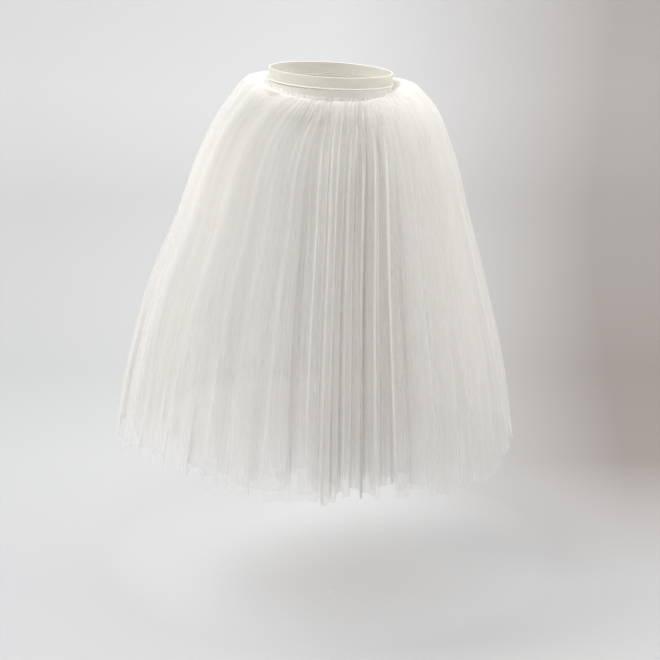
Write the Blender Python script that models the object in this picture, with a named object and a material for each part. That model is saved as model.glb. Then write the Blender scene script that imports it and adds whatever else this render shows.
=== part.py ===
"""A romantic ballet tutu, hollow, in the shape it takes when it is worn.

An elastic waistband is sewn on a fitted yoke. Four gathered layers of soft tulle are stitched round the
yoke one below another, spring out over the hips and fall in folds to mid-calf.

Frame: metres, +Z up, the origin at the middle of the waist and of the waistband's height, -Y the front and
+X the right-hand side as seen from the front. Every piece is a thin closed wall made from rings round +Z.
"""

import math

import bpy
import numpy as np

# Waistband and yoke
WAIST_WIDTH = 0.224
WAIST_DEPTH = 0.172
BAND_HEIGHT = 0.022
BAND_THICKNESS = 0.0022
BAND_RIDGE = 0.0007
YOKE_HEIGHT = 0.062
YOKE_THICKNESS = 0.0010
YOKE_HIP_EASE = 0.004
SEAM_GAP = 0.0003
BAND_COLUMNS = 48

# Tulle
TULLE_THICKNESS = 0.0012
STITCH_RELIEF = 0.0019
SEAM_HEIGHT = -0.027
LAYER_STITCH_STEP = 0.011
HEM_STEP_UP = 0.004
STEEPEST_FOLD = 1.4
USUAL_DEPTH = 0.78
USUAL_CREST_SINK = 0.18
MITRE_LIMIT = 0.45

# How the garment hangs on the wearer
WAIST_TILT = math.radians(3.2)
HEM_TILT = math.radians(1.2)
BUNDLE_ANGLE = math.radians(-72)
BUNDLE_WIDTH = math.radians(28)
BUNDLE_CROWDING = 0.48

# The outer layer's stations, from its top edge at the stitching down to its hem, in millimetres. "out" is
# how far the crests of the folds stand from the waist's centre, and "up" is their height, for the four
# sides. "fold" is the folds' share of their depth at the hem, "spread" the layers' share of their spacing
# at the hem, and "stack" the share of the stitching's step by which each layer lies under the one outside.
STATION_COLUMNS = (
    "name",
    "right_out", "right_up", "front_out", "front_up",
    "left_out", "left_up", "back_out", "back_up",
    "fold", "spread", "stack",
)
STATIONS = (
    ("stitch", 116, -27, 90, -27, 116, -27, 90, -27, 0.09, 0.00, 1.00),
    ("spring", 121, -9, 101, -34, 123, -13, 104, -13, 0.09, 0.02, 1.15),
    ("over", 140, -5, 112, -52, 143, -6, 124, -14, 0.15, 0.09, 1.25),
    ("shoulder", 181, -35, 127, -84, 188, -52, 162, -43, 0.24, 0.20, 1.20),
    ("hip", 225, -127, 158, -148, 242, -147, 213, -132, 0.36, 0.38, 0.60),
    ("thigh", 256, -244, 198, -254, 285, -260, 258, -252, 0.52, 0.55, 0.28),
    ("knee", 294, -391, 250, -404, 349, -410, 312, -400, 0.72, 0.74, 0.10),
    ("calf", 328, -538, 296, -548, 391, -550, 348, -544, 0.87, 0.88, 0.00),
    ("hem", 350, -693, 334, -696, 419, -688, 374, -692, 1.00, 1.00, 0.00),
)

# The layers, from the outside in: how many folds each has, how deep they are at the hem and how far its
# hem lies inside the outer layer's (both in millimetres), how far its folds turn round the wearer between
# the waist and the hem, where its first fold is, how much of the stations' rise above the outer seam it
# has, and the stations at which it has no ring.
LAYER_COLUMNS = ("name", "folds", "fold_depth", "inset", "twist_deg", "offset", "rise", "skipped")
LAYERS = (
    ("skirt_outer", 48, 30.0, 0.0, -15.0, 0.0, 1.0, ()),
    ("skirt_second", 44, 22.0, 35.0, -9.0, 1.3, 0.6, ("over",)),
    ("skirt_third", 42, 18.0, 61.0, -12.0, 2.9, 0.55, ("over", "calf")),
    ("skirt_inner", 38, 15.0, 84.0, -6.0, 4.1, 0.55, ("over", "calf")),
)

# Each fold has a broad crest between two columns and a narrow trough on a third: where they lie along it.
CREST_BEGINS = -0.15
CREST_ENDS = 0.15
TROUGH = 0.5

# Broad swells and hollows that all the layers share: where they are, how wide, and how far out at the hem.
SWELL_COLUMNS = ("angle_deg", "width_deg", "out_mm")
SWELLS = (
    (-78, 9, -14),
    (-60, 10, 7),
    (-106, 10, 7),
    (-140, 24, -10),
    (28, 14, -8),
    (75, 16, 9),
    (128, 15, -9),
)

# The folds are unevenly spaced, deep, proud and long. Each row is a wave round the skirt: how many times it
# goes round, where it starts, how far it shifts the folds, and its share of the folds' depth at the trough
# and at the crest, and of the hem's unevenness.
UNEVEN_COLUMNS = ("waves", "start", "shift_deg", "depth", "crest", "hem")
UNEVEN = (
    (5, 0.4, 0.0, 0.10, 0.00, 0.40),
    (11, 1.1, 1.2, 0.00, 0.09, 0.30),
    (17, 2.6, 0.8, 0.14, 0.00, 0.30),
    (23, 4.9, 0.6, 0.00, 0.09, 0.00),
)
HEM_UNEVENNESS = 0.004
HEM_NOTCH = 0.3

TULLE_COLOUR = (0.86, 0.85, 0.80, 1.0)
YOKE_COLOUR = (0.76, 0.73, 0.65, 1.0)
BAND_COLOUR = (0.82, 0.79, 0.70, 1.0)


def clear_scene():
    for obj in list(bpy.data.objects):
        bpy.data.objects.remove(obj, do_unlink=True)


def cloth_material(name, colour, roughness):
    material = bpy.data.materials.new(name)
    material.use_nodes = True
    shader = material.node_tree.nodes["Principled BSDF"]
    shader.inputs["Base Color"].default_value = colour
    shader.inputs["Roughness"].default_value = roughness
    shader.inputs["Metallic"].default_value = 0.0
    material.diffuse_color = colour
    return material


def rows(columns, table):
    """The rows of a table as dictionaries."""
    return [dict(zip(columns, row)) for row in table]


def around(angle, right, front, left, back):
    """The point at this angle of an oval that reaches a different distance on each of its four sides."""
    x = np.where(np.cos(angle) > 0, right, left) * np.cos(angle)
    y = np.where(np.sin(angle) > 0, back, front) * np.sin(angle)
    return x, y


def by_side(angle, right, front, left, back):
    """A value that turns smoothly from one side's to the next."""
    across = np.where(np.cos(angle) > 0, right, left)
    along = np.where(np.sin(angle) > 0, back, front)
    return across * np.cos(angle) ** 2 + along * np.sin(angle) ** 2


def tilted(x, y, z, fall):
    """The points with the wearer's tilt, which is strongest at the waist (fall 0) and least at the hem."""
    slope = math.tan(WAIST_TILT) * (1 - fall) + math.tan(HEM_TILT) * fall
    return np.stack([x, y, z - slope * x], axis=-1)


def grid_normals(rings):
    """(unit normal, mitre share) at each point of rings that run down and close on themselves."""
    across = np.roll(rings, -1, axis=1) - rings
    down = rings[1:] - rings[:-1]
    faces = [
        np.cross(down, across[:-1]),
        np.cross(down, across[1:]),
        np.cross(np.roll(down, -1, axis=1), across[:-1]),
        np.cross(np.roll(down, -1, axis=1), across[1:]),
    ]
    faces = [face / np.linalg.norm(face, axis=-1, keepdims=True) for face in faces]
    own = np.zeros((4, *rings.shape))
    own[0, :-1] = faces[0]
    own[1, 1:] = faces[1]
    own[2, :-1] = np.roll(faces[2], 1, axis=1)
    own[3, 1:] = np.roll(faces[3], 1, axis=1)
    total = own.sum(axis=0)
    normal = total / np.linalg.norm(total, axis=-1, keepdims=True)
    met = np.abs(own).sum(axis=-1) > 0
    share = (own * normal).sum(axis=-1).sum(axis=0) / met.sum(axis=0)
    return normal, share


def closed_loop_faces(loops, columns):
    """Triangles between neighbouring loops of points, where the last loop also joins the first."""
    faces = []
    for i in range(loops):
        upper, lower = i * columns, (i + 1) % loops * columns
        for j in range(columns):
            k = (j + 1) % columns
            faces.append((upper + j, lower + j, lower + k))
            faces.append((upper + j, lower + k, upper + k))
    return faces


def wall_faces(rings, columns):
    """Triangles of a wall: the outer side, the hem's edge, the inner side and the top edge. The inner side
    is split along the same diagonals as the outer one, so the wall keeps its thickness."""
    def outer(i, j):
        return i * columns + j % columns

    def inner(i, j):
        return (rings + i) * columns + j % columns

    faces = []
    for i in range(rings - 1):
        for j in range(columns):
            for a, b, c in (((i, j), (i + 1, j), (i + 1, j + 1)), ((i, j), (i + 1, j + 1), (i, j + 1))):
                faces.append((outer(*a), outer(*b), outer(*c)))
                faces.append((inner(*a), inner(*c), inner(*b)))
    last = rings - 1
    for j in range(columns):
        faces.append((outer(last, j), inner(last, j), inner(last, j + 1)))
        faces.append((outer(last, j), inner(last, j + 1), outer(last, j + 1)))
        faces.append((outer(0, j), outer(0, j + 1), inner(0, j + 1)))
        faces.append((outer(0, j), inner(0, j + 1), inner(0, j)))
    return faces


def add_object(name, points, faces, material, sharp_angle):
    mesh = bpy.data.meshes.new(name)
    mesh.from_pydata(points.reshape(-1, 3).tolist(), [], faces)
    mesh.materials.append(material)
    mesh.shade_smooth()
    mesh.set_sharp_from_angle(angle=math.radians(sharp_angle))
    obj = bpy.data.objects.new(name, mesh)
    bpy.context.scene.collection.objects.link(obj)
    return obj


def waist_sides(grow):
    """The waist's four sides, all moved out by this much."""
    return (WAIST_WIDTH / 2 + grow, WAIST_DEPTH / 2 + grow) * 2


def build_waistband(material):
    """A flat elastic band with eased edges and a stitched ridge along its lower edge."""
    top = BAND_HEIGHT / 2
    ease = 0.0006
    ridge_height = 0.0024
    section = (
        (-BAND_THICKNESS, top - ease),
        (-ease, top),
        (0.0, top - ease),
        (0.0, -top + ridge_height),
        (BAND_RIDGE, -top + ridge_height - ease),
        (BAND_RIDGE, -top + ease),
        (-ease, -top),
        (-BAND_THICKNESS, -top + ease),
    )
    angle = np.arange(BAND_COLUMNS) * 2 * math.pi / BAND_COLUMNS
    loops = []
    for grow, height in section:
        x, y = around(angle, *waist_sides(grow))
        loops.append(tilted(x, y, np.full_like(x, height), 0.0))
    faces = closed_loop_faces(len(section), BAND_COLUMNS)
    return add_object("waistband", np.array(loops), faces, material, 35)


def yoke_grow(height):
    """How far the yoke's outer face stands from the waist's outline at this height."""
    below = (-BAND_HEIGHT / 2 - height) / YOKE_HEIGHT
    return -(BAND_THICKNESS - YOKE_THICKNESS) / 2 + YOKE_HIP_EASE * below


def build_yoke(material):
    """A fitted tube of firm net under the band, which eases out towards the hips."""
    angle = np.arange(BAND_COLUMNS) * 2 * math.pi / BAND_COLUMNS
    top = -BAND_HEIGHT / 2 - SEAM_GAP
    loops = []
    for inward, heights in ((0.0, (top, top - YOKE_HEIGHT / 2, top - YOKE_HEIGHT)),
                            (YOKE_THICKNESS, (top, top - YOKE_HEIGHT / 2, top - YOKE_HEIGHT))):
        for height in heights:
            x, y = around(angle, *waist_sides(yoke_grow(height) - inward))
            loops.append(tilted(x, y, np.full_like(x, height), 0.0))
    faces = wall_faces(3, BAND_COLUMNS)
    return add_object("yoke", np.array(loops), faces, material, 35)


def uneven(angle, what):
    """The sum at these angles of the waves that vary this feature of the folds."""
    return sum(u[what] * np.sin(u["waves"] * angle + u["start"]) for u in rows(UNEVEN_COLUMNS, UNEVEN))


def waist_angles(layer):
    """The angle at the waist of each fold's two crest columns and its trough, one row a fold."""
    fold = np.arange(layer["folds"])[:, None] + np.array((CREST_BEGINS, CREST_ENDS, TROUGH))
    angle = 2 * math.pi * fold / layer["folds"] + layer["offset"]
    return angle + np.radians(uneven(angle, "shift_deg"))


def fallen_angle(angle, twist, share):
    """The angle that a fold starting at this one has reached at this share of its fall. All the folds turn
    round the wearer, and those near the bundle crowd towards it, so they hang more nearly parallel."""
    away = (angle - BUNDLE_ANGLE + math.pi) % (2 * math.pi) - math.pi
    inward = BUNDLE_CROWDING * away * np.exp(-((away / BUNDLE_WIDTH) ** 2) / 2)
    return angle + share * (twist - inward)


def swell(angle):
    """How far the shared swells and hollows move the hem at this angle."""
    total = np.zeros_like(angle)
    for s in rows(SWELL_COLUMNS, SWELLS):
        away = (angle - math.radians(s["angle_deg"]) + math.pi) % (2 * math.pi) - math.pi
        total += s["out_mm"] / 1000 * np.exp(-((away / math.radians(s["width_deg"])) ** 2))
    return total


def envelope(angle, station, inset, rise, number):
    """The points at these angles of the smooth surface that a layer's crests touch, at one station."""
    sides = ("right", "front", "left", "back")
    spread = station["spread"]
    if station["name"] == "stitch":
        height = SEAM_HEIGHT - number * LAYER_STITCH_STEP
        clear = yoke_grow(height) + SEAM_GAP + TULLE_THICKNESS * 1.3 + STITCH_RELIEF
        x, y = around(angle, *waist_sides(clear))
        return tilted(x, y, np.full_like(x, height), 0.0)
    under = number * (LAYER_STITCH_STEP * station["stack"] - HEM_STEP_UP * spread**2)
    x, y = around(angle, *(station[side + "_out"] / 1000 - inset * spread for side in sides))
    z = by_side(angle, *(station[side + "_up"] / 1000 for side in sides))
    z = z - (1 - rise) * np.maximum(z - SEAM_HEIGHT, 0.0) - under
    stretch = 1 + swell(angle) * spread**1.5 / np.hypot(x, y)
    return tilted(x * stretch, y * stretch, z, spread)


def mean_out(station):
    return (station["right_out"] + station["front_out"] + station["left_out"] + station["back_out"]) / 4000


def layer_rings(layer, number):
    """The layer's smooth envelope and how deep each of its points lies under it, ring by ring."""
    used = [s for s in rows(STATION_COLUMNS, STATIONS) if s["name"] not in layer["skipped"]]
    angles = waist_angles(layer)
    top, hem = mean_out(used[0]), mean_out(used[-1])
    smooth, depths = [], []
    for s in used:
        share = (1 - top / mean_out(s)) / (1 - top / hem)
        angle = fallen_angle(angles, math.radians(layer["twist_deg"]), share)
        ring = envelope(angle, s, layer["inset"] / 1000, layer["rise"], number)
        if s["name"] == "hem":
            ring[..., 2] += HEM_UNEVENNESS * uneven(angles + layer["offset"], "hem")
        run = np.linalg.norm(ring[:, 2] - ring[:, 1], axis=-1)
        next_run = np.linalg.norm(np.roll(ring[:, 0], -1, axis=0) - ring[:, 2], axis=-1)
        deepest = layer["fold_depth"] / 1000 * s["fold"] * (USUAL_DEPTH + uneven(angles, "depth"))
        depth = deepest * (USUAL_CREST_SINK + uneven(angles, "crest"))
        depth[:, 2] = np.minimum(deepest[:, 2], STEEPEST_FOLD * np.minimum(run, next_run) + depth[:, 1])
        if s["name"] == "hem":
            ring[..., 2] += HEM_NOTCH * depth
        if s["name"] == "stitch":
            depth = np.zeros_like(angle)
            depth[:, 2] = STITCH_RELIEF
        smooth.append(ring.reshape(-1, 3))
        depths.append(depth.ravel())
    return np.array(smooth), np.array(depths)


def build_layer(layer, number, material):
    smooth, depths = layer_rings(layer, number)
    outward, _ = grid_normals(smooth)
    outer = smooth - outward * depths[..., None]
    normal, share = grid_normals(outer)
    inner = outer - normal * (TULLE_THICKNESS / np.maximum(share, MITRE_LIMIT))[..., None]
    points = np.concatenate([outer, inner])
    faces = wall_faces(*outer.shape[:2])
    return add_object(layer["name"], points, faces, material, 50)


def main():
    clear_scene()
    build_waistband(cloth_material("elastic", BAND_COLOUR, 0.45))
    build_yoke(cloth_material("firm_net", YOKE_COLOUR, 0.75))
    tulle = cloth_material("soft_tulle", TULLE_COLOUR, 0.9)
    for number, layer in enumerate(rows(LAYER_COLUMNS, LAYERS)):
        build_layer(layer, number, tulle)


main()
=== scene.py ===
import math

import bpy
import numpy as np
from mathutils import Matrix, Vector


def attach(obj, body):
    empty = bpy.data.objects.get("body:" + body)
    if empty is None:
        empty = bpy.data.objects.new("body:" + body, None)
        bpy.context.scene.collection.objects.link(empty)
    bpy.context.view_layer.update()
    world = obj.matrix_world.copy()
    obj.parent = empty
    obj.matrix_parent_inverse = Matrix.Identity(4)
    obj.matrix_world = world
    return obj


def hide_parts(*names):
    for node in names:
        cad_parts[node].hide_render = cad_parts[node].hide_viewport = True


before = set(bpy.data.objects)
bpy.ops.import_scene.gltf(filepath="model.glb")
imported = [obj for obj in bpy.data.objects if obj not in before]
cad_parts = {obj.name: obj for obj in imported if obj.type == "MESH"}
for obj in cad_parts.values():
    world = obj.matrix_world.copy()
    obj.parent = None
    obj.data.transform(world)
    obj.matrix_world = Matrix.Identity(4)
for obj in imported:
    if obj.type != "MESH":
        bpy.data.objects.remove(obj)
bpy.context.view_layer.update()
print("frame loaded")

turn = 2 * math.pi


class Wire:
    # A shader socket that can stand in a sum: each operator adds one Math node.
    def __init__(self, graph, socket):
        self.graph = graph
        self.socket = socket

    def calc(self, operation, *others):
        values = dict(enumerate((self, *others)))
        return self.graph.node("ShaderNodeMath", {"operation": operation}, values)

    def __add__(self, other):
        return self.calc("ADD", other)

    def __radd__(self, other):
        return self.calc("ADD", other)

    def __mul__(self, other):
        return self.calc("MULTIPLY", other)

    def __rmul__(self, other):
        return self.calc("MULTIPLY", other)

    def __sub__(self, other):
        return self.calc("SUBTRACT", other)

    def __rsub__(self, other):
        return self.graph.node("ShaderNodeMath", {"operation": "SUBTRACT"}, {0: other, 1: self})

    def __truediv__(self, other):
        return self.calc("DIVIDE", other)

    def power(self, other):
        return self.calc("POWER", other)

    def wave(self):
        return self.calc("COSINE")

    def held(self):
        return self.graph.node("ShaderNodeClamp", {}, {"Value": self, "Min": 0.0, "Max": 1.0})


class Graph:
    # One material's nodes.
    def __init__(self, name):
        self.material = bpy.data.materials.new(name)
        self.material.use_nodes = True
        self.tree = self.material.node_tree
        self.tree.nodes.clear()

    def node(self, kind, settings=None, values=None, output=0):
        made = self.tree.nodes.new(kind)
        for key, value in (settings or {}).items():
            setattr(made, key, value)
        for key, value in (values or {}).items():
            if isinstance(value, Wire):
                self.tree.links.new(value.socket, made.inputs[key])
            else:
                made.inputs[key].default_value = value
        return Wire(self, made.outputs[output])

    def parts(self, vector):
        made = self.tree.nodes.new("ShaderNodeSeparateXYZ")
        self.tree.links.new(vector.socket, made.inputs[0])
        return [Wire(self, made.outputs[i]) for i in range(3)]

    def blendColours(self, amount, first, second):
        settings = {"data_type": "RGBA", "clamp_factor": True}
        return self.node("ShaderNodeMix", settings, {0: amount, 6: first, 7: second}, 2)

    def finish(self, shader):
        output = self.tree.nodes.new("ShaderNodeOutputMaterial")
        self.tree.links.new(shader.socket, output.inputs["Surface"])
        return self.material


def opaque(r, g, b):
    return (r, g, b, 1.0)


def netThreads(g, cell):
    # Three cosines at sixty degrees add up to round holes, and the low ground between them is the thread.
    across, along, _ = g.parts(g.node("ShaderNodeUVMap", {"uv_map": "cloth"}))
    k = turn / cell
    slant = along * (k * math.sqrt(3) / 2)
    holes = (across * k).wave() + (across * (k / 2) + slant).wave() + (across * (k / 2) - slant).wave()
    groundHeight = 0.5
    edgeSlope = 0.7
    return ((groundHeight - holes) * edgeSlope).held()


def addObject(mesh, material):
    mesh.shade_smooth()
    mesh.materials.append(material)
    obj = bpy.data.objects.new(mesh.name, mesh)
    bpy.context.scene.collection.objects.link(obj)
    return obj


def gridMesh(name, points, flat, attributes, material, wrapDown=False):
    # points is rows x columns x 3, closed round the columns. Each face joins four neighbours, the corners
    # running left, down, right, up, and the map gives the cut cloth's own place in metres.
    rows, columns = points.shape[:2]
    steps = rows if wrapDown else rows - 1
    i, j = np.meshgrid(np.arange(steps), np.arange(columns), indexing="ij")
    here = i * columns
    below = (i + 1) % rows * columns
    beside = (j + 1) % columns
    corners = np.stack([here + j, below + j, below + beside, here + beside], -1)
    mesh = bpy.data.meshes.new(name)
    mesh.vertices.add(rows * columns)
    mesh.vertices.foreach_set("co", points.reshape(-1).astype(np.float32))
    count = steps * columns
    mesh.loops.add(count * 4)
    mesh.loops.foreach_set("vertex_index", corners.reshape(-1).astype(np.int32))
    mesh.polygons.add(count)
    mesh.polygons.foreach_set("loop_start", np.arange(0, count * 4, 4, dtype=np.int32))
    across = np.stack([j, j, j + 1, j + 1], -1) / columns * flat[0]
    along = np.stack([flat[1][i], flat[1][i + 1], flat[1][i + 1], flat[1][i]], -1)
    uv = mesh.uv_layers.new(name="cloth")
    uv.data.foreach_set("uv", np.stack([across, along], -1).reshape(-1).astype(np.float32))
    for key, value in attributes.items():
        values = np.broadcast_to(value, (rows, columns)).reshape(-1)
        mesh.attributes.new(key, "FLOAT", "POINT").data.foreach_set("value", values.astype(np.float32))
    mesh.update()
    mesh.validate()
    return addObject(mesh, material)


def smoothThrough(known, values, wanted):
    # A curve through the known values whose slope at each is that of its neighbours.
    slope = np.gradient(values, known)
    k = np.clip(np.searchsorted(known, wanted) - 1, 0, len(known) - 2)
    step = known[k + 1] - known[k]
    t = (wanted - known[k]) / step
    return (
        values[k] * (2 * t**3 - 3 * t**2 + 1)
        + slope[k] * step * (t**3 - 2 * t**2 + t)
        + values[k + 1] * (3 * t**2 - 2 * t**3)
        + slope[k + 1] * step * (t**3 - t**2)
    )


def ripple(angle, waves):
    # A sum of waves round the skirt: each row gives how many, its start and its height.
    return sum(height * np.sin(count * angle + start) for count, start, height in waves)


body = {
    "waistWidth": 0.224,
    "waistDepth": 0.172,
    "bandHeight": 0.022,
    "bandThickness": 0.0022,
    "yokeHeight": 0.062,
    "yokeThickness": 0.0010,
    "yokeEase": 0.004,
    "gap": 0.0003,
    "waistTilt": math.tan(math.radians(3.2)),
    "hemTilt": math.tan(math.radians(1.2)),
}


def waistSides(grow):
    return (body["waistWidth"] / 2 + grow, body["waistDepth"] / 2 + grow) * 2


def oval(angle, right, front, left, back):
    # A point at this angle of an oval that reaches a different distance on each of its four sides.
    x = np.where(np.cos(angle) > 0, right, left) * np.cos(angle)
    y = np.where(np.sin(angle) > 0, back, front) * np.sin(angle)
    return x, y


def sideValue(angle, right, front, left, back):
    # The squares of the angle's cosine and sine share a value out between the sides.
    across = np.where(np.cos(angle) > 0, right, left)
    along = np.where(np.sin(angle) > 0, back, front)
    return across * np.cos(angle) ** 2 + along * np.sin(angle) ** 2


def tilted(x, y, z, fall):
    # The height falls towards the right by the waist's slope, which eases to the hem's.
    slope = body["waistTilt"] * (1 - fall) + body["hemTilt"] * fall
    return np.stack(np.broadcast_arrays(x, y, z - slope * x), axis=-1)


def yokeGrow(height):
    below = (-body["bandHeight"] / 2 - height) / body["yokeHeight"]
    return -(body["bandThickness"] - body["yokeThickness"]) / 2 + body["yokeEase"] * below


tulleLook = {
    "colour": opaque(0.875, 0.857, 0.826),
    "foldColour": opaque(0.84, 0.814, 0.772),
    # the painted shade in the folds: its warm dark colour and how much of it shows
    "shadeColour": opaque(0.32, 0.275, 0.225),
    "shadeShare": 0.88,
    # how much of the light one ply stops, and how much of that is the threads' and the streaks' to change
    "cover": 0.22,
    "cell": 0.0016,
    "thread": 0.45,
    "threadPeak": 2.2,
    "streak": 0.55,
    # how much of the light soaks through to the other side
    "soak": 0.5,
    "slant": 1.3,
}


def makeTulle(name, look):
    g = Graph(name)
    marks = ("streak", "plies", "shade")
    streak, plies, shade = [g.node("ShaderNodeAttribute", {"attribute_name": m}, {}, 2) for m in marks]
    threads = netThreads(g, look["cell"]) * (look["thread"] * look["threadPeak"])
    even = 1 - look["thread"] - look["streak"] / 2
    cover = look["cover"] * (even + threads + streak * look["streak"])
    # Seen aslant, or gathered, a ray crosses more threads: what is left open is raised to that power.
    facing = g.node("ShaderNodeLayerWeight", {}, {"Blend": 0.5}, 1)
    alpha = 1 - (1 - cover).power(plies / (look["slant"] - facing))
    colour = g.blendColours(streak, look["colour"], look["foldColour"])
    # Painted shade: the colour is darkened towards shadeColour deep in the folds and creases.
    colour = g.blendColours(shade * look["shadeShare"], colour, look["shadeColour"])
    values = {"Base Color": colour, "Roughness": 0.7, "Specular IOR Level": 0.25}
    cloth = g.node("ShaderNodeBsdfPrincipled", {}, values)
    glow = g.node("ShaderNodeBsdfTranslucent", {}, {"Color": colour})
    lit = g.node("ShaderNodeMixShader", {}, {0: look["soak"], 1: cloth, 2: glow})
    hole = g.node("ShaderNodeBsdfTransparent", {}, {"Color": (1, 1, 1, 1)})
    return g.finish(g.node("ShaderNodeMixShader", {}, {0: alpha, 1: hole, 2: lit}))


skirt = {
    # right, front, left and back: how far out the crests stand and how high they are, in millimetres, then
    # the folds' depth, the layers' spacing and the stack of the seams, as shares
    "stations": (
        (116, 90, 116, 90, -27, -27, -27, -27, 0.09, 0.00, 1.00),
        (121, 101, 123, 104, -9, -34, -13, -13, 0.09, 0.02, 1.15),
        (140, 112, 143, 124, -5, -52, -6, -14, 0.15, 0.09, 1.25),
        (181, 127, 188, 162, -35, -84, -52, -43, 0.24, 0.20, 1.20),
        (225, 158, 242, 213, -127, -148, -147, -132, 0.36, 0.38, 0.60),
        (256, 198, 285, 258, -244, -254, -260, -252, 0.52, 0.55, 0.28),
        (294, 250, 349, 312, -391, -404, -410, -400, 0.72, 0.74, 0.10),
        (328, 296, 391, 348, -538, -548, -550, -544, 0.87, 0.88, 0.00),
        (350, 334, 419, 374, -693, -696, -688, -692, 1.00, 1.00, 0.00),
    ),
    # name, folds, their depth and the hem's inset in mm, twist in degrees, first fold, the share of the
    # rise above the outer seam, cut width in metres, how loud its small creases are, how many there are to
    # a fold, the columns of its grid, and how close its net is beside the others'
    "layers": (
        ("skirt_outer", 48, 30.0, 0.0, -15.0, 0.0, 1.0, 2.4, 1.0, 3, 1440, 1.6),
        ("skirt_second", 44, 22.0, 35.0, -9.0, 1.3, 0.6, 2.15, 0.6, 3, 1188, 1.0),
        ("skirt_third", 42, 18.0, 61.0, -12.0, 2.9, 0.55, 1.9, 0.4, 2, 1008, 0.85),
        ("skirt_inner", 38, 15.0, 84.0, -6.0, 4.1, 0.55, 1.7, 0.35, 2, 912, 0.8),
    ),
    "seamHeight": -0.027,
    "length": 0.74,
    "rows": 58,
    # above 1, the rows lie closer near the seam
    "rowCrowding": 1.3,
    "foldSeed": 11,
    "panelSeed": 31,
    "seamStep": 0.011,
    "hemStep": 0.004,
    # how far the first row stands off the yoke: the solid's wall, what of it counts, and a relief
    "wall": 0.0012,
    "wallShare": 1.3,
    "seamRelief": 0.0019,
    "steepest": 1.4,
    "usualDepth": 0.78,
    "usualSink": 0.18,
    # where the folds crowd together: the middle, the width, and how strongly
    "bundle": (math.radians(-72), math.radians(28), 0.48),
    # where the surface swells: the angle and the width in degrees, and how far out in millimetres
    "swells": (
        (-78, 9, -14),
        (-60, 10, 7),
        (-106, 10, 7),
        (-140, 24, -10),
        (28, 14, -8),
        (75, 16, 9),
        (128, 15, -9),
    ),
    # waves round the skirt: how many, where they start and how high they are
    "shiftWaves": (
        (11, 1.1, math.radians(1.2)),
        (17, 2.6, math.radians(0.8)),
        (23, 4.9, math.radians(0.6)),
    ),
    "depthWaves": ((5, 0.4, 0.10), (17, 2.6, 0.14)),
    "sinkWaves": ((11, 1.1, 0.09), (23, 4.9, 0.09)),
    "hemWaves": ((5, 0.4, 0.40), (11, 1.1, 0.30), (17, 2.6, 0.30)),
    # how crisp and deep the folds are by side: angle, width, share above and below, where it turns
    "crispness": (
        (-78, 27, 0.88, 1.00, 0.05),
        (-138, 36, 0.00, 0.50, 0.66),
        (-15, 40, 0.00, 0.06, 0.50),
        (88, 46, 0.30, 0.62, 0.20),
        (165, 36, 0.00, 0.52, 0.40),
    ),
    # slow noise round the skirt: its finest wave, and the values that it lies between
    "crispNoise": (30, 0.55, 1.35),
    "creaseNoise": (40, -0.35, 1.1),
    "gatherNoise": (200, 0, 1),
    "streakNoise": (26, -0.13, 0.13),
}


# The large folds.
foldShape = {
    # as shares of a fold's width: each side wall's cloth, its run, how far it may lap and does lap, half a
    # crest, and the reach of the shadow in a trough
    "wallCloth": 0.23,
    "wallRun": 0.03,
    "lap": 0.15,
    "lapMean": 0.35,
    "lapSpread": 0.6,
    "leastCrest": 0.03,
    "crestSpread": 0.21,
    "shadow": 0.13,
    "wallEase": 0.6,
    # a fold's depth, as a share of its usual one, where the cloth is calm, and how much more where crisp
    "calmDepth": 0.08,
    "crispDepth": 1.02,
    # how low a fold may begin, how it deepens from there, and how it swells and shrinks as it falls
    "lowestStart": 0.6,
    "startPower": 1.8,
    "startDepth": 0.1,
    "growthLength": 0.2,
    "swellMiddle": 0.9,
    "swellHeight": 0.3,
    "fewestSwells": 2,
    "moreSwells": 4,
    "deepest": 1.15,
    "shallowest": 0.3,
    "depthSpread": 0.85,
    # slow waves that set the folds aside as they fall: how many and how far
    "driftWaves": ((7, math.radians(1.3)), (13, math.radians(0.6))),
    "driftStep": 1.7,
    "driftTurn": 3,
}


# The small creases in the folds.
creasing = {
    "slope": 0.9,
    "depth": 0.0034,
    # how far the creases turn as they fall, in columns, round the whole skirt and near the front
    "turned": 30,
    "lean": (math.radians(-108), math.radians(30), 24),
    "calmShare": 0.02,
    "crispShare": 0.98,
    "noiseTurn": 0.4,
}


# The fine gathers under each seam.
gathering = {
    "toEachFold": 10,
    "depth": 0.0015,
    # how far down they reach, as shares of the fall: the least, the calm cloth's and the crisp cloth's more
    "leastReach": 0.03,
    "calmReach": 0.07,
    "crispReach": 0.25,
    "fadePower": 1.5,
}


# The raw cut edge at the hem.
hemCut = {
    "uneven": 0.009,
    "notch": 2.4,
    "notchPower": 1.5,
    "jag": 0.013,
    "jagMiddle": 0.4,
    # the share of the fall that the cut edge's shape reaches up, and how much of a trough's depth it rises
    "reach": 0.2,
    "troughRise": 0.3,
    "cornerStart": 0.3,
    "cornerWidth": 0.25,
}


# The raw cut edge above each seam, and how far up it each of its rows is.
frill = {
    "rows": 6,
    "height": 0.0055,
    "moreAtSides": 0.0195,
    "sidePower": 5,
    "foot": 0.0009,
    "flare": 0.0012,
    "flareWave": 0.0011,
    "gatherShare": 0.3,
    "flareLostAtSides": 0.8,
    "leanInAtSides": 0.0026,
    "wavesToEachFold": 1.8,
    "waveShare": 0.25,
    "noise": (20, 0.2, 1.2),
}
frillUp = np.linspace(1, 0, frill["rows"], endpoint=False)[:, None]


# How many plies a ray meets: what creases, patches, crests, the edges in painted shadow and the frill add.
plying = {
    "hairpin": 1.8,
    "patch": 1.35,
    "crest": 0.7,
    "crestLevel": 0.7,
    "edge": 1.2,
    "frill": 1.7,
    "least": 0.8,
    "most": 4.8,
    "narrowest": 1e-5,
}


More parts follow.
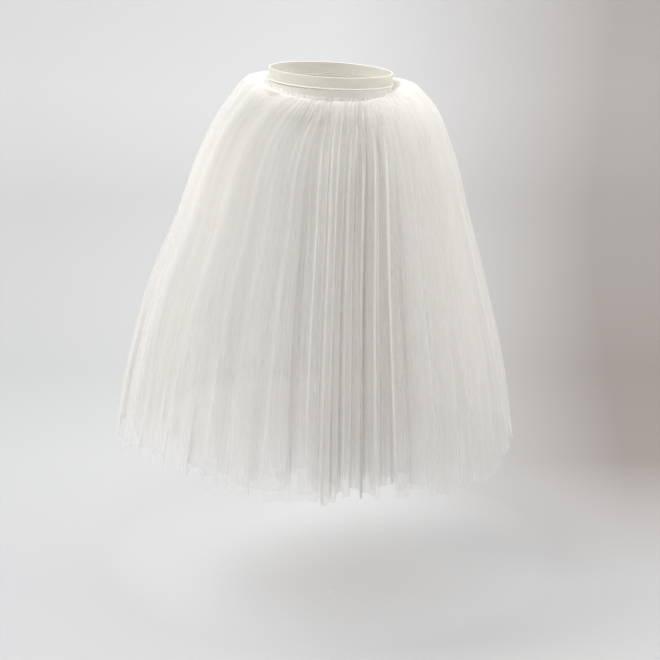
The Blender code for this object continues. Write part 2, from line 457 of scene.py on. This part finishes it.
# How strongly the streaks and the painted shade in the folds show.
tinting = {
    "streakLines": 4,
    "calmStreak": 0.02,
    "crispStreak": 0.14,
    "noiseTurn": 0.2,
    "troughShade": 0.28,
    "creaseShade": 0.4,
    "edgeShade": 1.2,
}


def stationCurves(layer, number, fall):
    # Each column of the table as a smooth curve of the distance fallen, with the seam on the yoke first.
    table = np.array(skirt["stations"], float)
    table[:, :8] /= 1000
    spread, stack = table[:, 9], table[:, 10]
    share = 1 - table[0, :4].mean() / table[:, :4].mean(1)
    share = share / share[-1]
    step = np.hypot(np.diff(table[:, :4].mean(1)), np.diff(table[:, 4:8].mean(1)))
    known = np.concatenate([[0], np.cumsum(step)])
    out = table[:, :4] - layer["inset"] * spread[:, None]
    under = number * (skirt["seamStep"] * stack - skirt["hemStep"] * spread**2)
    seam = skirt["seamHeight"] - under[0]
    stand = body["gap"] + skirt["wall"] * skirt["wallShare"] + skirt["seamRelief"]
    out[0] = waistSides(yokeGrow(seam) + stand)
    columns = np.concatenate([out, table[:, 4:10], share[:, None], under[:, None]], 1)
    at = fall * known[-1]
    return [smoothThrough(known, column, at)[:, None] for column in columns.T] + [layer["rise"]]


def waistAngle(fold, layer):
    # Even steps round the waist, shifted by a few slow waves so that no two folds are alike.
    angle = turn * fold / layer["folds"] + layer["offset"]
    return angle + ripple(angle, skirt["shiftWaves"])


def fallenAngle(angle, twist, share):
    # The folds turn as they fall, and those near the bundle crowd towards its middle.
    middle, width, crowding = skirt["bundle"]
    away = (angle - middle + math.pi) % turn - math.pi
    return angle + share * (twist - crowding * away * np.exp(-((away / width) ** 2) / 2))


def smoothSkirt(angle, curves):
    # The surface that the crests touch: an oval at each height, swelled a little, then tilted.
    right, front, left, back, upRight, upFront, upLeft, upBack, _, spread, _, under, rise = curves
    x, y = oval(angle, right, front, left, back)
    z = sideValue(angle, upRight, upFront, upLeft, upBack)
    z = z - (1 - rise) * np.maximum(z - skirt["seamHeight"], 0) - under
    total = 0
    for middle, width, out in skirt["swells"]:
        away = (angle - math.radians(middle) + math.pi) % turn - math.pi
        total = total + out / 1000 * np.exp(-((away / math.radians(width)) ** 2))
    stretch = 1 + total * np.clip(spread, 0, 1) ** 1.5 / np.hypot(x, y)
    return tilted(x * stretch, y * stretch, z, spread)


def outwardFrom(angle, curves, points):
    # Away from the wearer: the step down the surface crossed with a small step round it.
    small = 0.01
    across = smoothSkirt(angle + small, curves) - smoothSkirt(angle - small, curves)
    normal = np.cross(np.gradient(points, axis=0), across)
    return normal / np.linalg.norm(normal, axis=-1, keepdims=True)


def troughDepths(layer, curves):
    # How deep each trough is at each height: its share of the layer's depth, or less in a narrow fold. A
    # fold's width is measured from the edges of its crests to the middle of its trough.
    edge, middle = 0.15, 0.5
    fold = np.arange(layer["folds"])[:, None] + np.array((-edge, edge, middle))
    angles = waistAngle(fold, layer)
    ring = smoothSkirt(fallenAngle(angles.reshape(1, -1), layer["twist"], curves[10]), curves)
    ring = ring.reshape(ring.shape[0], layer["folds"], 3, 3)
    before = np.linalg.norm(ring[:, :, 2] - ring[:, :, 1], axis=-1)
    after = np.linalg.norm(np.roll(ring[:, :, 0], -1, 1) - ring[:, :, 2], axis=-1)
    deepest = layer["depth"] * curves[8] * (skirt["usualDepth"] + ripple(angles[:, 2], skirt["depthWaves"]))
    return np.minimum(deepest, skirt["steepest"] * np.minimum(before, after))


def slowNoise(random, angle, noise):
    # A sum of waves of every number up to count, with random starts, brought between low and high.
    count, low, high = noise
    waves = sum(np.cos(n * angle + turn * random.random()) for n in range(1, count + 1))
    return low + (high - low) * np.clip(0.5 + 0.33 * waves / math.sqrt(count / 2), 0, 1)


def crispnessAt(angle, fall):
    # Between the sides that the table names, each has a say by how near it is.
    total = weight = 0
    for middle, width, above, below, turns in skirt["crispness"]:
        away = (angle - math.radians(middle) + math.pi) % turn - math.pi
        near = np.exp(-((away / math.radians(width)) ** 2)) + 0.001
        total = total + near * (above + (below - above) * np.clip((fall - turns) / 0.35, 0, 1))
        weight = weight + near
    return total / weight


def foldProfile(random, layer, per):
    # One row a fold: where each column of cloth lies along its fold, and how far down the side walls it is.
    # A fold is half a crest, a wall down, a flat trough, a wall up and half the next crest. A wall that
    # laps runs backwards, under the crest beside it.
    shape, folds = foldShape, layer["folds"]
    first, last = shape["leastCrest"] + shape["crestSpread"] * random.random((2, folds, 1))
    turned = random.normal(shape["lapMean"], shape["lapSpread"], (folds, 1)).clip(-1, 1)
    wall = shape["wallCloth"]
    runDown = shape["wallRun"] - shape["lap"] * turned.clip(0, 1)
    runUp = shape["wallRun"] - shape["lap"] * (-turned).clip(0, 1)
    u = np.arange(per)[None] / per
    down = np.clip((u - first) / wall, 0, 1)
    up = np.clip((u - 1 + last + wall) / wall, 0, 1)
    flat = (1 - runDown - runUp) / (1 - 2 * wall)
    place = down * runDown + up * runUp + (u - wall * (down + up)) * flat
    dip = down - up
    eased = dip - np.sin(turn * dip) / turn * shape["wallEase"]
    # A painted shadow: the light comes from the left, so each trough is painted dark beside its left wall.
    past = u - first - wall
    inTrough = (past >= 0) & (up <= 0)
    shadow = np.where(inTrough, np.clip(1 - past / shape["shadow"], 0, 1), 0)
    even = np.tile(u, (folds, 1))
    soft = 0.5 - 0.5 * np.cos(turn * even)
    return [values.reshape(1, -1) for values in (place, eased, soft, even, shadow)]


def eachFold(random, layer, fall, per):
    # How much of its depth each fold has at each height: some begin low, and all swell and shrink. Where
    # the folds are crisp above, they begin near the seam.
    folds = layer["folds"]
    crispAbove = crispnessAt(waistAngle(np.arange(folds) + 0.5, layer), 0.0)
    shape = foldShape
    begins = shape["lowestStart"] * random.random(folds) ** shape["startPower"] * (1 - crispAbove)
    grown = np.clip((fall - begins) / shape["growthLength"] + shape["startDepth"], 0, 1)
    grown = grown * grown * (3 - 2 * grown)
    swells = shape["fewestSwells"] + shape["moreSwells"] * random.random(folds)
    swell = np.sin(swells * fall + turn * random.random(folds))
    swell = shape["swellMiddle"] + shape["swellHeight"] * swell
    own = shape["shallowest"] + shape["depthSpread"] * random.random(folds)
    return np.repeat(np.clip(grown * swell, 0, shape["deepest"]) * own, per, axis=1)


def softened(values, times=1):
    # Each column takes a quarter of each neighbour, which rounds the folds' corners.
    for _ in range(times):
        values = 0.25 * np.roll(values, 1, 1) + 0.5 * values + 0.25 * np.roll(values, -1, 1)
    return values


def smallFolds(random, count, columns):
    # Crests and troughs by turns, at uneven steps and of uneven depth, joined by eased straight lines. A
    # trough is 0.55 to 1 deep and a crest 0 to 0.25.
    widths = random.gamma(3.0, 1.0, count) + 0.5
    edges = np.concatenate([[0], np.cumsum(widths)]) / widths.sum() * columns
    troughs, crests = 0.55 + 0.45 * random.random(count), 0.25 * random.random(count)
    deep = np.where(np.arange(count) % 2 == 1, troughs, crests)
    k = np.clip(np.searchsorted(edges, np.arange(columns), side="right") - 1, 0, count - 1)
    t = (np.arange(columns) - edges[k]) / (edges[k + 1] - edges[k])
    t = t - np.sin(turn * t) / turn * 0.5
    return deep[k] * (1 - t) + deep[(k + 1) % count] * t


class LayerCloth:
    # One layer's cloth as a grid, rows down the fall and columns round the skirt. The steps draw from the
    # same random numbers, so the order in which points() and marks() run them matters.
    def __init__(self, layer, number):
        self.layer = layer
        self.number = number
        self.random = np.random.default_rng(skirt["foldSeed"] + number)
        self.panels = np.random.default_rng(skirt["panelSeed"] + number)
        self.per = round(layer["columns"] / layer["folds"])
        self.columns = self.per * layer["folds"]
        self.fall = np.linspace(0, 1, skirt["rows"])[:, None] ** skirt["rowCrowding"]
        self.curves = stationCurves(layer, number, self.fall[:, 0])
        self.share = self.curves[10]

    def layOut(self):
        # Where a column lies: along its fold first, then round the skirt.
        layer, share = self.layer, self.share
        place, dip, softDip, self.even, self.shadow = foldProfile(self.random, layer, self.per)
        self.fold = (np.arange(self.columns) // self.per)[None]
        self.atWaist = waistAngle(self.fold + self.even, layer)
        fallen = fallenAngle(self.atWaist, layer["twist"], share)
        uneven = slowNoise(self.random, self.atWaist, skirt["crispNoise"])
        self.crisp = np.clip(crispnessAt(fallen, self.fall) * uneven, 0, 1)
        where = self.even + (place - self.even) * self.crisp
        (few, wide), (many, narrow) = foldShape["driftWaves"]
        drift = wide * np.sin(few * self.atWaist + foldShape["driftStep"] * self.number)
        drift = drift + narrow * np.sin(many * self.atWaist + foldShape["driftTurn"] * share)
        angle = fallenAngle(waistAngle(self.fold + where, layer), layer["twist"], share) + share * drift
        self.smooth = smoothSkirt(angle, self.curves)
        self.outward = outwardFrom(angle, self.curves, self.smooth)
        self.trough = np.repeat(troughDepths(layer, self.curves), self.per, axis=1)
        self.panel = softened(dip)
        dip = softened(softDip + (dip - softDip) * self.crisp)
        depth = foldShape["calmDepth"] + foldShape["crispDepth"] * self.crisp
        self.dip = dip * eachFold(self.random, layer, self.fall, self.per) * depth
        evenly = smoothSkirt(fallen, self.curves)
        self.step = np.linalg.norm(np.roll(evenly, -1, 1) - evenly, axis=-1)

    def creaseDip(self):
        # Small creases drift across the folds as they fall, and each is louder where the folds are crisp.
        middle, wide, columnsOver = creasing["lean"]
        away = (self.atWaist - middle + math.pi) % turn - math.pi
        lean = columnsOver * np.exp(-((away / wide) ** 2))
        turned = self.share * (creasing["turned"] * np.sin(2 * self.atWaist) + lean)
        count = self.layer["folds"] * self.layer["creases"] // 2 * 2
        column = (np.arange(self.columns) + np.round(turned).astype(int)) % self.columns
        self.crease = 1 - (1 - smallFolds(self.random, count, self.columns)[column]) ** 2
        deep = np.minimum(creasing["slope"] * self.step * self.columns / count, creasing["depth"])
        drifting = self.atWaist + creasing["noiseTurn"] * self.share
        noise = slowNoise(self.random, drifting, skirt["creaseNoise"])
        shown = creasing["calmShare"] + creasing["crispShare"] * self.crisp
        self.loud = self.layer["detail"] * shown * noise.clip(0)
        return self.crease * deep * self.loud

    def gatherDip(self):
        # Fine gathers start at the seam and run out at random heights.
        count = self.layer["folds"] * gathering["toEachFold"] // 2 * 2
        self.gather = smallFolds(self.random, count, self.columns)
        furthest = gathering["calmReach"] + gathering["crispReach"] * self.crisp[:1]
        noise = slowNoise(self.random, self.atWaist, skirt["gatherNoise"])
        reach = gathering["leastReach"] + furthest * noise**2
        deep = np.minimum(gathering["depth"], self.step * self.columns / count)
        return self.gather * deep * np.exp(-((self.fall / reach) ** gathering["fadePower"]))

    def hemLift(self):
        # The raw hem is cut a little unevenly, and it stands higher in the troughs.
        folds = self.layer["folds"]
        nearHem = np.clip(1 - (1 - self.fall) / hemCut["reach"], 0, 1) ** 2
        uneven = hemCut["uneven"] * ripple(self.atWaist + self.layer["offset"], skirt["hemWaves"])
        notch = self.random.random((1, folds)) ** hemCut["notchPower"]
        corner = np.clip((self.panel - hemCut["cornerStart"]) / hemCut["cornerWidth"], 0, 1)
        notched = hemCut["notch"] * np.repeat(notch, self.per, axis=1) * corner
        lifted = (hemCut["troughRise"] * self.dip + notched) * self.trough
        jag = hemCut["jag"] * (smallFolds(self.panels, folds * 2, self.columns) - hemCut["jagMiddle"])
        return (uneven + lifted + jag) * nearHem

    def frillAbove(self, seam):
        # The raw top edge stands up above the seam as a small frill, taller at the outer layer's sides.
        flat = self.outward[:1] * [[[1, 1, 0]]]
        flat = flat / np.linalg.norm(flat, axis=-1, keepdims=True)
        along = turn * (self.fold + self.even) * frill["wavesToEachFold"]
        wave = np.cos(along + 2 * np.sin(5 * self.atWaist))
        atSides = np.abs(np.cos(self.atWaist)) ** frill["sidePower"] * (self.number == 0)
        flare = frill["flare"] + frill["flareWave"] * wave
        flare = flare + frill["gatherShare"] * self.gather * gathering["depth"]
        flare = flare * (1 - frill["flareLostAtSides"] * atSides) - frill["leanInAtSides"] * atSides
        flare = frill["foot"] + frillUp * flare
        tall = frill["height"] + frill["moreAtSides"] * atSides
        wave = wave * slowNoise(self.random, self.atWaist, frill["noise"])
        lift = frillUp * tall * (1 - frill["waveShare"] + frill["waveShare"] * wave)
        return seam + flat * flare[..., None] + np.stack([0 * lift, 0 * lift, lift], -1)

    def points(self):
        self.layOut()
        usual = self.layer["depth"] * self.curves[8]
        sink = usual * (skirt["usualSink"] + ripple(self.atWaist, skirt["sinkWaves"]))
        depth = sink * (1 - self.dip.clip(0, 1)) + self.trough * self.dip
        depth = depth + self.creaseDip() + self.gatherDip()
        points = self.smooth - self.outward * depth[..., None]
        points[..., 2] += self.hemLift()
        return np.concatenate([self.frillAbove(points[:1]), points])

    def plies(self, points):
        # How many plies a ray meets square on: the cloth's own width over the width it is gathered to.
        beside = np.linalg.norm(np.roll(points, -1, 1) - points, axis=-1)
        narrow = self.layer["width"] / self.columns / np.maximum(beside, plying["narrowest"])
        plies = softened(narrow, 2 + self.number)
        hanging = plies[frill["rows"]:]
        hanging *= 1 + (1 - self.crease) ** 2 * self.loud * self.crisp**2 * plying["hairpin"]
        # Each crest and each trough lies over its own number of other plies.
        crests, troughs = self.panels.random((2, self.layer["folds"]))
        crests = crests[(self.fold + (self.even > 0.5)) % self.layer["folds"]]
        tone = crests * (1 - self.panel) + troughs[self.fold] * self.panel
        held = self.dip.clip(0, 1)
        # Crests grow denser and troughs thinner, and the net is denser along the painted shadow beside each
        # trough's left wall, so that line reads darker.
        edges = plying["crest"] * (plying["crestLevel"] - held) + plying["edge"] * self.shadow * held
        hanging *= 1 + (plying["patch"] * (tone - 0.5) + edges) * self.crisp
        plies[:frill["rows"]] *= plying["frill"]
        return plies.clip(plying["least"], plying["most"]) * self.layer["density"]

    def streaks(self):
        # Lighter and darker lines down the cloth, which change places slowly as they fall.
        count = tinting["streakLines"]
        lines = softened(self.random.normal(0, 1, (count, self.columns)), 4)
        mix = np.stack([np.cos(math.pi * self.share + n * math.pi / count) for n in range(count)])
        drifting = self.atWaist + tinting["noiseTurn"] * self.share
        broad = slowNoise(self.random, drifting, skirt["streakNoise"])
        fine = (mix * lines[:, None]).sum(0)
        shown = tinting["calmStreak"] + tinting["crispStreak"] * self.crisp**2
        return np.clip(0.5 + broad + shown * fine, 0, 1)

    def shade(self):
        # Painted shade: deep in a fold less light comes back, so the cloth is painted a little darker
        # there, most of all in the painted shadow beside each trough's left wall.
        held = self.dip.clip(0, 1)
        shade = tinting["troughShade"] * held + tinting["creaseShade"] * self.crease * self.loud
        return (shade + tinting["edgeShade"] * self.shadow * held).clip(0, 1) * self.crisp

    def marks(self, points):
        plies, streaks, shade = self.plies(points), self.streaks(), self.shade()
        frillStreaks = np.repeat(streaks[:1], frill["rows"], 0)
        frillShade = np.zeros((frill["rows"], self.columns))
        streaks = np.concatenate([frillStreaks, streaks])
        return {"plies": plies, "streak": streaks, "shade": np.concatenate([frillShade, shade])}

    def alongCloth(self):
        # How far down the cut cloth each row is, from its top edge.
        hanging = self.fall[:, 0] * skirt["length"]
        return np.concatenate([-frillUp[:, 0] * frill["height"], hanging]) + frill["height"]


def meshArea(obj):
    return sum(p.area for p in obj.data.polygons)


layerColumns = (
    "name", "folds", "depth", "inset", "twist", "offset",
    "rise", "width", "detail", "creases", "columns", "density",
)
tulle = makeTulle("soft tulle", tulleLook)
for number, row in enumerate(skirt["layers"]):
    layer = dict(zip(layerColumns, row))
    layer["depth"] /= 1000
    layer["inset"] /= 1000
    layer["twist"] = math.radians(layer["twist"])
    cloth = LayerCloth(layer, number)
    points = cloth.points()
    along = cloth.alongCloth()
    name = layer["name"].replace("skirt", "tulle")
    piece = gridMesh(name, points, (layer["width"], along), cloth.marks(points), tulle)
    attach(piece, "root")
    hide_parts(layer["name"])
    hem = np.linalg.norm(np.diff(points[-1], axis=0, append=points[-1][:1]), axis=-1).sum()
    cut = f"{layer['width']} x {along[-1]:.3f} m"
    print(f"{name}: area {meshArea(piece):.2f} m2, cut {cut}, hem {hem:.2f} m")


band = {
    "angles": 960,
    "ribs": 15,
    "ribDepth": 0.00014,
    "corner": 0.0006,
    "ridge": 0.0007,
    "ridgeHeight": 0.0024,
    "pucker": 0.00022,
    "puckerReach": 0.006,
    "bow": 0.0002,
    "bows": 9,
    "facePoints": 61,
    "innerPoints": 20,
    "colour": opaque(0.725, 0.702, 0.615),
    # the darker colour between the ribs: partly the weave's, partly painted shade in the grooves
    "grooveShadeColour": opaque(0.65, 0.63, 0.545),
    "crossThreads": 420,
    "plainEdges": 0.003,
}

yoke = {
    "angles": 960,
    "rows": 26,
    "pucker": 0.00012,
    "colour": opaque(0.745, 0.725, 0.665),
    "cell": 0.0011,
    "cover": 0.86,
    "threadShare": 0.4,
}

thread = {
    "colour": opaque(0.84, 0.82, 0.76),
    "thick": 0.00032,
    "length": 0.0019,
    "rings": 6,
    "sides": 6,
    "bandStitches": 250,
    "bandRow": -0.0102,
    "bandLift": 0.0008,
    "seamStitches": 210,
    "seamSink": 0.0003,
    "seamSlant": 0.45,
    # how thin its ends are, squared, and how far they sink, as shares of its thickness
    "tip": 0.04,
    "sunk": 0.25,
}


puckerWaves = range(40, 190, 6)


def puckers(angle, seed):
    # Uneven small waves round the waist, as sewing a gathered edge leaves.
    random = np.random.default_rng(seed)
    waves = sum(np.cos(n * angle + turn * random.random()) for n in puckerWaves)
    return waves / math.sqrt(len(puckerWaves))


def bandPoints():
    # A flat band with eased edges: its outer face carries ribs, a cosine of the height, and along its lower
    # edge a sewn ridge, which swells out just under the ribs and closes just above the edge. The whole
    # profile, as pairs of how far out and how high, is carried round the waist's oval.
    top, thick, ease = body["bandHeight"] / 2, body["bandThickness"], band["corner"]
    count, inner = band["facePoints"], band["innerPoints"]
    low = -top + band["ridgeHeight"]
    ribs = band["ribDepth"] * (np.cos(np.linspace(0, turn * band["ribs"], count)) - 1)
    bend = np.linspace(0, math.pi / 2, 4)[1:]
    ridge = band["ridge"]
    innerFace = np.linspace(-top + ease, top - ease, inner + 2)[1:-1]
    profile = np.concatenate([
        [(-thick, top - ease), (-thick + 0.0003, top - 0.0001), (-ease, top)],
        np.stack([ribs, np.linspace(top - ease, low, count)], -1),
        [(ridge * 0.6, low - 0.0002), (ridge, low - 0.0006)],
        [(ridge, -top + 0.0008), (ridge * 0.6, -top + 0.0003)],
        np.stack([-ease * np.sin(bend), np.linspace(-top + 0.0001, -top, len(bend))], -1),
        [(-thick + 0.0003, -top + 0.0001), (-thick, -top + ease)],
        np.stack([-thick - ribs[::3][:inner], innerFace], -1),
    ])
    out, height = profile[:, :1], profile[:, 1:]
    angle = np.linspace(0, turn, band["angles"], endpoint=False)[None]
    middle = np.clip(1 - np.abs(height / top), 0, 1)
    nearEdge = np.exp(-(((height + top) / band["puckerReach"]) ** 2))
    pucker = band["pucker"] * (puckers(angle, 5) - 1) * nearEdge
    grow = out + pucker + band["bow"] * middle * np.sin(band["bows"] * angle)
    x, y = oval(angle, *waistSides(grow))
    return tilted(x, y, height, 0.0), height[:, 0]


def yokePoints():
    # A tube of firm net under the band: down its outer face, round the lower edge and up the inner face.
    top = -body["bandHeight"] / 2 - body["gap"]
    down = np.linspace(top, top - body["yokeHeight"], yoke["rows"])
    height = np.concatenate([down, down[::-1]])[:, None]
    inward = np.repeat([0.0, body["yokeThickness"]], yoke["rows"])[:, None]
    angle = np.linspace(0, turn, yoke["angles"], endpoint=False)[None]
    sag = yoke["pucker"] * (puckers(angle, 8) - 1).clip(-2, 0)
    x, y = oval(angle, *waistSides(yokeGrow(height) - inward + sag))
    return tilted(x, y, height, 0.0), height[:, 0]


def makeElastic(name):
    # Ribs along the band and threads across it, both as cosines of the strip's own map. The colour is
    # lighter on the ribs and darker between them: partly the weave's own pattern, partly painted shade in
    # the grooves.
    g = Graph(name)
    across, along, _ = g.parts(g.node("ShaderNodeUVMap", {"uv_map": "cloth"}))
    rib = (along * (turn * band["ribs"] / (body["bandHeight"] - band["plainEdges"]))).wave()
    cross = (across * turn * band["crossThreads"]).wave()
    weave = (rib * 0.3 + cross * rib * 0.25 + 0.5).held()
    colour = g.blendColours(weave, band["grooveShadeColour"], band["colour"])
    bump = g.node("ShaderNodeBump", {}, {"Strength": 0.25, "Distance": 0.0002, "Height": weave})
    values = {"Base Color": colour, "Roughness": 0.75, "Specular IOR Level": 0.25, "Normal": bump}
    return g.finish(g.node("ShaderNodeBsdfPrincipled", {}, values))


def makeNet(name, look):
    # Firm net: its threads stand up a little, and the holes between them let a little light by.
    g = Graph(name)
    threads = netThreads(g, look["cell"])
    bump = g.node("ShaderNodeBump", {}, {"Strength": 0.3, "Distance": 0.0002, "Height": threads})
    values = {"Base Color": look["colour"], "Roughness": 0.8, "Specular IOR Level": 0.2, "Normal": bump}
    net = g.node("ShaderNodeBsdfPrincipled", {}, values)
    hole = g.node("ShaderNodeBsdfTransparent", {}, {"Color": (1, 1, 1, 1)})
    cover = (look["cover"] - look["threadShare"] / 2 + threads * look["threadShare"]).held()
    return g.finish(g.node("ShaderNodeMixShader", {}, {0: cover, 1: hole, 2: net}))


def makeThread(name):
    g = Graph(name)
    values = {"Base Color": thread["colour"], "Roughness": 0.6, "Specular IOR Level": 0.3}
    return g.finish(g.node("ShaderNodeBsdfPrincipled", {}, values))


def stitchRow(count, grow, height, slant=0.0):
    # One stitch is a small spindle: a circle that swells and closes along a line, laid along the waist's
    # oval. A slant turns them up and down by turns.
    at = (np.arange(count) + 0.5) / count * turn
    right, front, _, _ = waistSides(grow)
    place = tilted(*oval(at, *waistSides(grow)), np.full_like(at, height), 0.0)
    ahead = np.stack([-np.sin(at) * right, np.cos(at) * front, 0 * at], -1)
    ahead /= np.linalg.norm(ahead, axis=-1, keepdims=True)
    out = np.stack([ahead[:, 1], -ahead[:, 0], 0 * at], -1)
    ahead[:, 2] += slant * np.where(np.arange(count) % 2 == 0, 1, -1) - body["waistTilt"] * ahead[:, 0]
    up = np.cross(out, ahead)
    along = np.linspace(-1, 1, thread["rings"])[:, None]
    ring = np.linspace(0, turn, thread["sides"], endpoint=False)[None]
    size = thread["thick"] * np.sqrt(np.clip(1 - along**4, thread["tip"], 1))
    sunk = thread["sunk"] * thread["thick"] * along**2
    parts = (thread["length"] / 2 * along + 0 * ring, size * np.cos(ring) - sunk, size * np.sin(ring))
    grid = sum(p[None, ..., None] * d[:, None, None] for p, d in zip(parts, (ahead, out, up)))
    return place[:, None, None] + grid


def stitchMesh(name, rows, material):
    # Every spindle is a grid of rings: its sides are in squares, and one face closes each end.
    spindles = np.concatenate(rows)
    count, rings, sides = spindles.shape[:3]
    i, j = np.meshgrid(np.arange(rings - 1), np.arange(sides), indexing="ij")
    here = i * sides
    beside = (j + 1) % sides
    squares = np.stack([here + j, here + beside, here + sides + beside, here + sides + j], -1)
    first = np.arange(count)[:, None, None] * rings * sides
    quads = (first + squares.reshape(1, -1, 4)).reshape(-1, 4)
    lastRing = (rings - 1) * sides
    ends = np.stack([np.arange(sides)[::-1], lastRing + np.arange(sides)])
    ends = (first + ends[None]).reshape(-1, sides)
    mesh = bpy.data.meshes.new(name)
    mesh.from_pydata(spindles.reshape(-1, 3).tolist(), [], quads.tolist() + ends.tolist())
    mesh.update()
    return addObject(mesh, material)


girth = math.pi * (body["waistWidth"] + body["waistDepth"]) / 2


def ringMesh(name, profile, material):
    # A closed ring of cloth, whose map runs round the waist and up the profile.
    points, height = profile
    return gridMesh(name, points, (girth, np.append(height, height[0])), {}, material, True)


bandCloth = ringMesh("band_elastic", bandPoints(), makeElastic("woven elastic"))
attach(bandCloth, "root")
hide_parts("waistband")

yokeCloth = ringMesh("yoke_net", yokePoints(), makeNet("firm net", yoke))
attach(yokeCloth, "root")
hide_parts("yoke")
print("band and yoke made")

rows = [stitchRow(thread["bandStitches"], thread["bandLift"], thread["bandRow"])]
for number in range(len(skirt["layers"])):
    seam = skirt["seamHeight"] - number * skirt["seamStep"]
    inside = yokeGrow(seam) - body["yokeThickness"] - thread["seamSink"]
    rows.append(stitchRow(thread["seamStitches"], inside, seam, thread["seamSlant"]))
stitches = stitchMesh("stitches", rows, makeThread("sewing thread"))
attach(stitches, "root")
print("stitches sewn")


stage = {
    "floor": -1.02,
    "radius": 6.0,
    "wall": 7.0,
    "curve": 2.5,
    "floorRings": 12,
    "curveRings": 24,
    "sides": 96,
    # The paper's colours are painted light: the floor and the wall are lighter at the left and middle and
    # darker to the right, darkest far off on the right, as the studio light falls off.
    "nearLeft": opaque(0.396, 0.396, 0.401),
    "nearRight": opaque(0.419, 0.411, 0.406),
    "farLeft": opaque(0.424, 0.424, 0.424),
    "farMiddle": opaque(0.465, 0.464, 0.461),
    "farRight": opaque(0.222, 0.199, 0.185),
    "wallLeft": opaque(0.698, 0.693, 0.693),
    "wallMiddle": opaque(0.756, 0.75, 0.746),
    "wallRight": opaque(0.446, 0.418, 0.398),
    # straight rises between 0 and 1 over the floor: how much a metre, and how much at the origin
    "nearAcross": (0.55, 0.5),
    "far": (1.5, -0.075),
    "farthest": (0.333, -0.4662),
    "pastRight": (1.2, -1.98),
    # further off, the same falls of light from left to middle and from middle to right are wider
    "spread": 1.58,
    "spreadLost": 0.16,
    "middleAt": 1.1,
    "rightPower": 1.25,
    # Painted light: light comes through the net on all sides, so a lighter patch is painted on the floor
    # under the skirt, and the floor there is hardly darker.
    "under": {"y": 0.2, "across": 4.5, "along": 4.5, "amount": 0.36, "colour": opaque(0.66, 0.65, 0.64)},
    # A painted shadow: the floor is softly shaded behind the skirt, darker and warmer in an oval.
    "behind": {"y": 1.15, "across": 6, "along": 5, "amount": 0.48, "colour": opaque(0.275, 0.245, 0.215)},
}


def stagePoints():
    # A round floor whose edge curves up into a wall: a line, a quarter circle and a line, turned round Z.
    curve, low = stage["curve"], stage["floor"]
    bend = np.linspace(0, math.pi / 2, stage["curveRings"])[1:]
    straight = stage["radius"] - curve
    tiny = 0.001
    floor = np.linspace(tiny, straight, stage["floorRings"])
    reach = np.concatenate([floor, straight + curve * np.sin(bend), [stage["radius"]]])
    height = np.concatenate([0 * floor + low, low + curve * (1 - np.cos(bend)), [stage["wall"]]])
    angle = np.linspace(0, turn, stage["sides"], endpoint=False)
    sides = (reach[:, None] * np.cos(angle), reach[:, None] * np.sin(angle), height[:, None])
    return np.stack(np.broadcast_arrays(*sides), -1)[:, ::-1]


def makePaper(name):
    g = Graph(name)
    x, y, _ = g.parts(g.node("ShaderNodeTexCoord", {}, {}, 3))

    def rise(value, ramp):
        slope, start = ramp
        return (value * slope + start).held()

    def patch(colour, spot):
        # An oval patch of another colour, which fades from its middle: the painted light under the skirt
        # and the painted shadow behind it.
        away = y - spot["y"]
        near = (1 - x * x * spot["across"] - away * away * spot["along"]).held()
        return g.blendColours(near * spot["amount"], colour, spot["colour"])

    # Painted light: blends from left to middle to right, wider further off, then from the near floor to the
    # far floor and up the wall.
    spread = stage["spread"] - y * stage["spreadLost"]
    middle = (x * spread + stage["middleAt"]).held()
    right = (x * spread).held().power(stage["rightPower"]) * (1 - rise(x, stage["pastRight"]))
    near = g.blendColours(rise(x, stage["nearAcross"]), stage["nearLeft"], stage["nearRight"])
    behind = g.blendColours(middle, stage["farLeft"], stage["farMiddle"])
    behind = g.blendColours(right, behind, stage["farRight"])
    wall = g.blendColours(middle, stage["wallLeft"], stage["wallMiddle"])
    wall = g.blendColours(right, wall, stage["wallRight"])
    floor = g.blendColours(rise(y, stage["far"]), near, behind)
    colour = g.blendColours(rise(y, stage["farthest"]), floor, wall)
    colour = patch(patch(colour, stage["under"]), stage["behind"])
    values = {"Base Color": colour, "Roughness": 0.9, "Specular IOR Level": 0.1}
    return g.finish(g.node("ShaderNodeBsdfPrincipled", {}, values))


paperPoints = stagePoints()
paperMap = (1.0, np.linspace(0, 1, len(paperPoints)))
paper = gridMesh("studio", paperPoints, paperMap, {}, makePaper("studio paper"))


lightTarget = Vector((0, 0, -0.3))


def areaLight(name, place, size, power, shadow):
    data = bpy.data.lights.new(name, "AREA")
    data.shape = "DISK"
    data.size = size
    data.energy = power
    data.use_shadow = shadow
    obj = bpy.data.objects.new(name, data)
    bpy.context.scene.collection.objects.link(obj)
    obj.location = place
    obj.rotation_euler = (lightTarget - Vector(place)).to_track_quat("-Z", "Y").to_euler()


areaLight("key", (-2.5, 0.0, 2.8), 2.8, 126, True)
areaLight("fill", (-0.8, -3.0, 2.5), 2.6, 86, True)
areaLight("back", (2.7, 0.5, 2.7), 2.6, 158, False)

world = bpy.data.worlds.new("studio air")
bpy.context.scene.world = world
world.use_nodes = True
air = world.node_tree.nodes["Background"].inputs
air["Color"].default_value = opaque(0.95, 0.97, 1.0)
air["Strength"].default_value = 1.2

view = {"place": (-0.0018, -3.436, 0.577), "down": 17.12, "lens": 104.2, "sensor": 36}
cameraData = bpy.data.cameras.new("camera")
cameraData.lens = view["lens"]
cameraData.sensor_width = view["sensor"]
camera = bpy.data.objects.new("camera", cameraData)
camera.location = view["place"]
camera.rotation_euler = (math.radians(90 - view["down"]), 0, 0)

scene = bpy.context.scene
scene.collection.objects.link(camera)
scene.camera = camera
scene.view_settings.view_transform = "Standard"
scene.cycles.transparent_max_bounces = 64
scene.cycles.max_bounces = 2
scene.cycles.diffuse_bounces = 1
scene.cycles.glossy_bounces = 1
scene.cycles.transmission_bounces = 1
print("stage, light and camera set")
